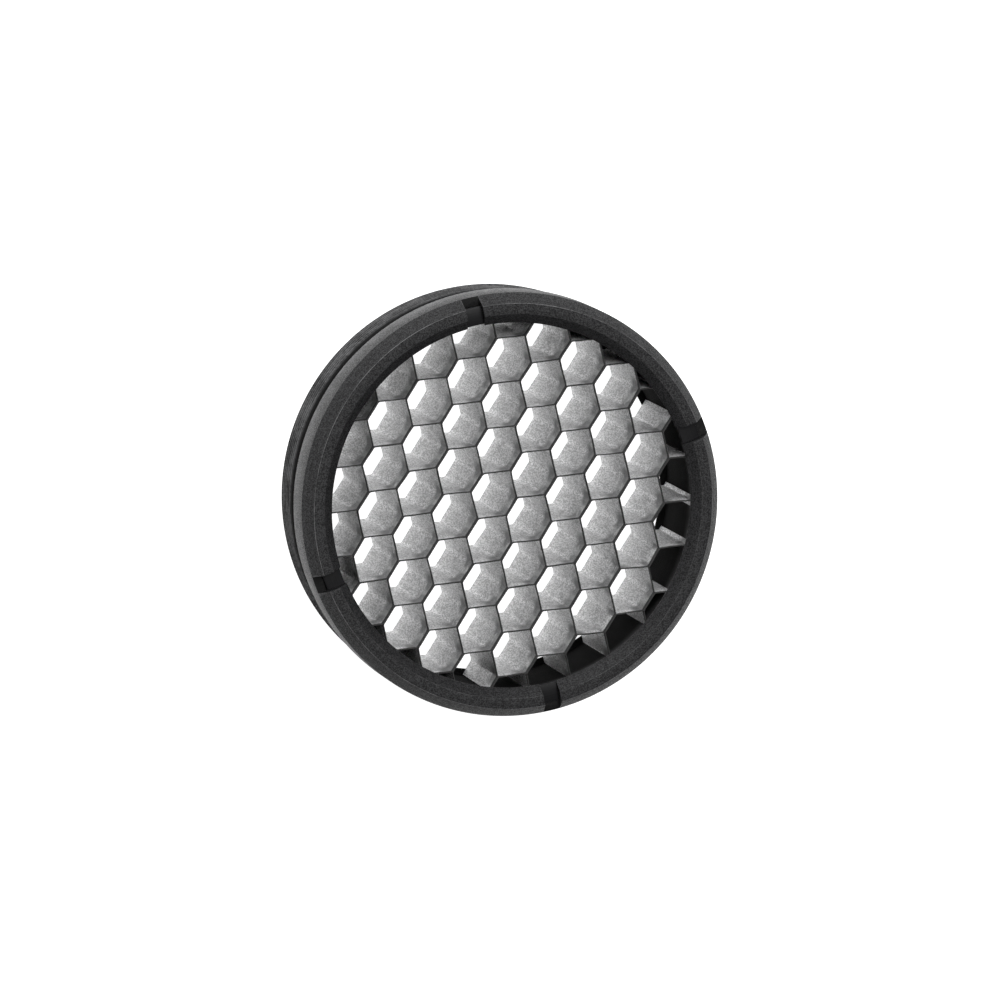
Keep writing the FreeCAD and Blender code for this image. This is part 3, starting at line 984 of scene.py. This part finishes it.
class HONEYCOMB_OT_foil(bpy.types.Operator):
    """Corrugated foil ribbons of the honeycomb"""
    bl_idname = "honeycomb.foil"
    bl_label = "Foil ribbons"

    def execute(self, context):
        sizes = context.scene.honeycomb_foil
        body = context.scene.honeycomb_body
        radius = body.bore_radius - sizes.rim_gap
        material = foil_material()
        noise.seed_set(sizes.seed)
        rows = math.ceil(radius / self.row_step(sizes)) + 1
        strips = []
        for row in range(-rows, rows + 1):
            runs = self.clip(self.centre_line(sizes, row, radius), radius)
            if runs:
                strips.append(runs)
        if len(strips) != len(FOIL_NODES):
            raise RuntimeError(f"{len(strips)} ribbons were made for {len(FOIL_NODES)} nodes")
        for number, (node, runs) in enumerate(zip(FOIL_NODES, strips), start=1):
            strip = self.build_strip(sizes, f"foil_strip_{number:02d}", runs)
            self.check_place(strip, node)
            mark_corners(strip, sizes.reflection_reach)
            shade(strip, math.radians(11.0))
            finish_piece(strip, material, "body", "foil", node)
        return {"FINISHED"}

    @staticmethod
    def row_step(sizes):
        return sizes.cell_size * (1.0 - sizes.cell_stretch) / 2.0

    @staticmethod
    def bond_flat(sizes, middle, level, side):
        """Ends of one bonded flat, which lies half a foil to one side of the bond."""
        half_run = sizes.bond_length / 2.0 * math.cos(sizes.bond_tilt)
        half_rise = sizes.bond_length / 2.0 * math.sin(sizes.bond_tilt)
        aside = side * sizes.thickness / 2.0 * math.sin(sizes.bond_tilt)
        across = side * sizes.thickness / 2.0 * math.cos(sizes.bond_tilt)
        return [(middle - half_run + aside, level + half_rise + across),
                (middle + half_run + aside, level - half_rise + across)]

    def centre_line(self, sizes, row, radius):
        """Corners of one ribbon in the disc's plane, well past both sides of the disc."""
        period = math.sqrt(3.0) * sizes.cell_size * (1.0 + sizes.cell_stretch)
        step = self.row_step(sizes)
        level = sizes.shift_across + row * step
        cells = sizes.shift_along + row * (period / 2.0 + sizes.row_drift)
        reach = radius + 2.0 * period
        first = math.floor((-reach - cells) / period)
        line = []
        for index in range(first, first + math.ceil(2.0 * reach / period) + 1):
            here = cells + index * period
            line += self.bond_flat(sizes, here + sizes.row_drift, level + step, -1)
            line += self.bond_flat(sizes, here + period / 2.0, level, 1)
        cosine, sine = math.cos(sizes.ribbon_angle), math.sin(sizes.ribbon_angle)
        return [Vector((along * cosine + across * sine, along * sine - across * cosine, 0.0))
                for along, across in line]

    @staticmethod
    def crossing(inside, outside, radius):
        """Point between two points where a line leaves the disc."""
        low, high = 0.0, 1.0
        for _ in range(30):
            middle = (low + high) / 2.0
            if inside.lerp(outside, middle).length < radius:
                low = middle
            else:
                high = middle
        return inside.lerp(outside, low)

    def clip(self, line, radius):
        """Stretches of a line of points that lie in the disc."""
        runs = []
        run = []
        for start, end in zip(line, line[1:]):
            starts_in, ends_in = start.length < radius, end.length < radius
            if starts_in and not run:
                run = [start]
            if starts_in and ends_in:
                run.append(end)
            elif starts_in:
                runs.append(run + [self.crossing(start, end, radius)])
                run = []
            elif ends_in:
                run = [self.crossing(end, start, radius), end]
            else:
                nearest = start.lerp(end, max(0.0, min(1.0, -start.dot(end - start)
                                                       / (end - start).length_squared)))
                if nearest.length < radius:
                    runs.append([self.crossing(nearest, start, radius),
                                 self.crossing(nearest, end, radius)])
        return runs

    @staticmethod
    def waver(sizes, point):
        """Bow and dents of the foil at a point, shared by the ribbons that are bonded there."""
        bow = noise.noise_vector(point / sizes.buckle_size)
        dents = noise.noise_vector(point / sizes.dent_size + DENT_OFFSET)
        moved = sizes.buckle * bow + sizes.dent * dents
        return Vector((moved.x, moved.y, 0.0))

    def build_strip(self, sizes, name, runs):
        """Extrude the rounded centre line up the disc, let it waver and give it its thickness."""
        bm = bmesh.new()
        for run in runs:
            verts = [bm.verts.new(point) for point in run]
            for start, end in zip(verts, verts[1:]):
                bm.edges.new((start, end))
        bends = [vert for vert in bm.verts if len(vert.link_edges) == 2]
        bmesh.ops.bevel(bm, geom=bends, offset=sizes.bend_radius, offset_type="OFFSET", segments=3,
                        profile=0.5, affect="VERTICES", material=-1, clamp_overlap=True)
        for edge in [e for e in bm.edges if e.calc_length() > 1.5 * sizes.path_step]:
            cuts = max(1, round(edge.calc_length() / sizes.path_step) - 1)
            bmesh.ops.subdivide_edges(bm, edges=[edge], cuts=cuts)
        low, high = FOIL_LOW.z, FOIL_HIGH.z
        bmesh.ops.translate(bm, verts=bm.verts[:], vec=(0.0, 0.0, low))
        rise = Vector((0.0, 0.0, (high - low) / sizes.height_steps))
        front = bm.edges[:]
        for _ in range(sizes.height_steps):
            raised = bmesh.ops.extrude_edge_only(bm, edges=front)["geom"]
            tops = {item for item in raised if isinstance(item, bmesh.types.BMVert)}
            front = [item for item in raised if isinstance(item, bmesh.types.BMEdge)
                     and item.verts[0] in tops and item.verts[1] in tops]
            bmesh.ops.translate(bm, verts=list(tops), vec=rise)
        inset = (sizes.thickness / 2.0 + sizes.buckle) / 2.0
        for vert in bm.verts:
            share = min(1.0, max(0.0, (FOIL_REACH - vert.co.to_2d().length) / sizes.rim_fade))
            place = vert.co.copy()
            vert.co += self.waver(sizes, place) * share
            burr = sizes.burr * (0.5 + 0.5 * noise.noise(place / sizes.burr_size))
            if place.z > high - inset:
                vert.co.z = high - burr
            elif place.z < low + inset:
                vert.co.z = low + burr
        bmesh.ops.recalc_face_normals(bm, faces=bm.faces[:])
        strip = new_object(name, bm)
        wall = strip.modifiers.new("foil thickness", "SOLIDIFY")
        wall.thickness = sizes.thickness
        wall.offset = 0.0
        wall.use_even_offset = True
        settle(strip)
        return strip

    @staticmethod
    def check_place(strip, node):
        """Stop if a ribbon leaves the place of its CAD node."""
        low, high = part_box(node)
        points = [vert.co for vert in strip.data.vertices]
        for axis in range(3):
            lowest = min(point[axis] for point in points)
            highest = max(point[axis] for point in points)
            if lowest < low[axis] - PLACE_TOLERANCE or highest > high[axis] + PLACE_TOLERANCE:
                raise RuntimeError(f"{strip.name} leaves the place of {node}")


# ---------------------------------------------------------------- panel and running

class HONEYCOMB_PT_panel(bpy.types.Panel):
    """Sizes, finishes and build steps of the honeycomb grid"""
    bl_idname = "HONEYCOMB_PT_panel"
    bl_label = "Honeycomb grid"
    bl_space_type = "VIEW_3D"
    bl_region_type = "UI"
    bl_category = "Honeycomb"

    def draw(self, context):
        for operator in OPERATORS:
            self.layout.operator(operator.bl_idname)
        for attribute, group in SETTING_GROUPS.items():
            box = self.layout.box()
            box.label(text=group.__doc__)
            for key in group.__annotations__:
                box.prop(getattr(context.scene, attribute), key)


OPERATORS = (
    HONEYCOMB_OT_stage,
    HONEYCOMB_OT_front_ring,
    HONEYCOMB_OT_rear_body,
    HONEYCOMB_OT_seal,
    HONEYCOMB_OT_foil,
)


def register():
    for attribute, group in SETTING_GROUPS.items():
        bpy.utils.register_class(group)
        setattr(bpy.types.Scene, attribute, bpy.props.PointerProperty(type=group))
    for operator in OPERATORS:
        bpy.utils.register_class(operator)
    bpy.utils.register_class(HONEYCOMB_PT_panel)


def unregister():
    bpy.utils.unregister_class(HONEYCOMB_PT_panel)
    for operator in reversed(OPERATORS):
        bpy.utils.unregister_class(operator)
    for attribute, group in SETTING_GROUPS.items():
        delattr(bpy.types.Scene, attribute)
        bpy.utils.unregister_class(group)


def main():
    register()
    bpy.ops.honeycomb.stage()
    bpy.ops.honeycomb.front_ring()
    bpy.ops.honeycomb.rear_body()
    bpy.ops.honeycomb.seal()
    bpy.ops.honeycomb.foil()


if __name__ == "__main__":
    main()
